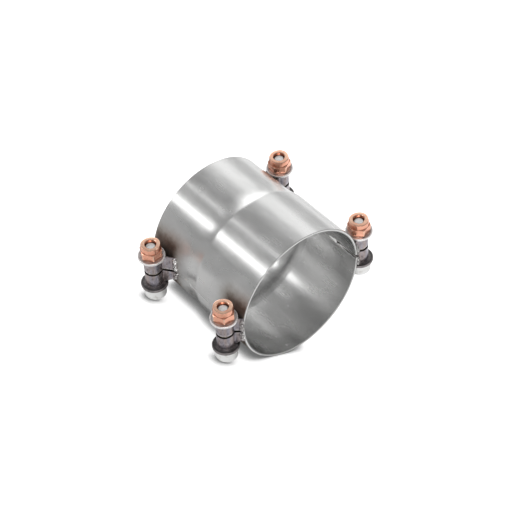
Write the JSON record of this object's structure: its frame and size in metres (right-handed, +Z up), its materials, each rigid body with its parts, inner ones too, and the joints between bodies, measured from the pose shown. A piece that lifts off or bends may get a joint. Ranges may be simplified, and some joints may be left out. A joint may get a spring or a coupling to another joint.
{
  "type": "exhaust pipe sleeve clamp",
  "caption": "Split, stepped exhaust sleeve: thin half shells drawn together round pipe ends by socket screws through welded strip lugs, with copper-coloured lock nuts.",
  "frame": {"origin": "on the ground under the middle of the sleeve: the centre of the bounding box's bottom, on the line where the lower half shell touches the ground", "axes": "+X along the tube towards the wider near end, +Y across it from the front bolts to the back bolts, +Z up. The sleeve lies as it comes to rest, rolled 26.9 degrees about X onto the heads of its front screws, so the bolts lean that far from +Z towards -Y"},
  "size_m": [0.0858, 0.1179, 0.0865],
  "materials": {
    "shell": "satin stainless sheet, heat-tinted brown beside the lugs",
    "lug": "strip darkened purple-brown by welding heat",
    "weld": "rough rippled weld metal, with bright spots",
    "screw": "bright zinc, satin",
    "washer": "plain bright steel",
    "nut": "copper flash, satin"
  },
  "bodies": {
    "lower_half": {"lower_half_shell": "shell", "lower_lug_front_far": "lug", "lower_lug_front_near": "lug", "lower_lug_back_far": "lug", "lower_lug_back_near": "lug", "lower_welds_front_far": "weld", "lower_welds_front_near": "weld", "lower_welds_back_far": "weld", "lower_welds_back_near": "weld", "cap_screw_front_far": "screw", "cap_screw_front_near": "screw", "cap_screw_back_far": "screw", "cap_screw_back_near": "screw", "head_washer_front_far": "washer", "head_washer_front_near": "washer", "head_washer_back_far": "washer", "head_washer_back_near": "washer"},
    "upper_half": {"upper_half_shell": "shell", "upper_lug_front_far": "lug", "upper_lug_front_near": "lug", "upper_lug_back_far": "lug", "upper_lug_back_near": "lug", "upper_welds_front_far": "weld", "upper_welds_front_near": "weld", "upper_welds_back_far": "weld", "upper_welds_back_near": "weld", "nut_washer_front_far": "washer", "nut_washer_front_near": "washer", "nut_washer_back_far": "washer", "nut_washer_back_near": "washer"},
    "nut_front_far": {"lock_nut_front_far": "nut"},
    "nut_front_near": {"lock_nut_front_near": "nut"},
    "nut_back_far": {"lock_nut_back_far": "nut"},
    "nut_back_near": {"lock_nut_back_near": "nut"}
  },
  "joints": [
    {"name": "upper_half_lift", "type": "slide", "parent": "lower_half", "child": "upper_half", "axis": [0, -0.4522, 0.8919], "range_m": [0, 0.00625]},
    {"name": "nut_front_far_turn", "type": "hinge", "parent": "upper_half", "child": "nut_front_far", "pos_m": [-0.0311, -0.04993, 0.03114], "axis": [0, -0.4522, 0.8919], "range_deg": [0, 1800]},
    {"name": "nut_front_near_turn", "type": "hinge", "parent": "upper_half", "child": "nut_front_near", "pos_m": [0.0334, -0.04993, 0.03114], "axis": [0, -0.4522, 0.8919], "range_deg": [0, 1800]},
    {"name": "nut_back_far_turn", "type": "hinge", "parent": "upper_half", "child": "nut_back_far", "pos_m": [-0.035, 0.03908, 0.07627], "axis": [0, -0.4522, 0.8919], "range_deg": [0, 1800]},
    {"name": "nut_back_near_turn", "type": "hinge", "parent": "upper_half", "child": "nut_back_near", "pos_m": [0.0348, 0.03908, 0.07627], "axis": [0, -0.4522, 0.8919], "range_deg": [0, 1800]}
  ],
  "couplings": [
    {"joint": "nut_front_far_turn", "follows": "upper_half_lift", "rad_per_m": 5026.5},
    {"joint": "nut_front_near_turn", "follows": "upper_half_lift", "rad_per_m": 5026.5},
    {"joint": "nut_back_far_turn", "follows": "upper_half_lift", "rad_per_m": 5026.5},
    {"joint": "nut_back_near_turn", "follows": "upper_half_lift", "rad_per_m": 5026.5}
  ]
}
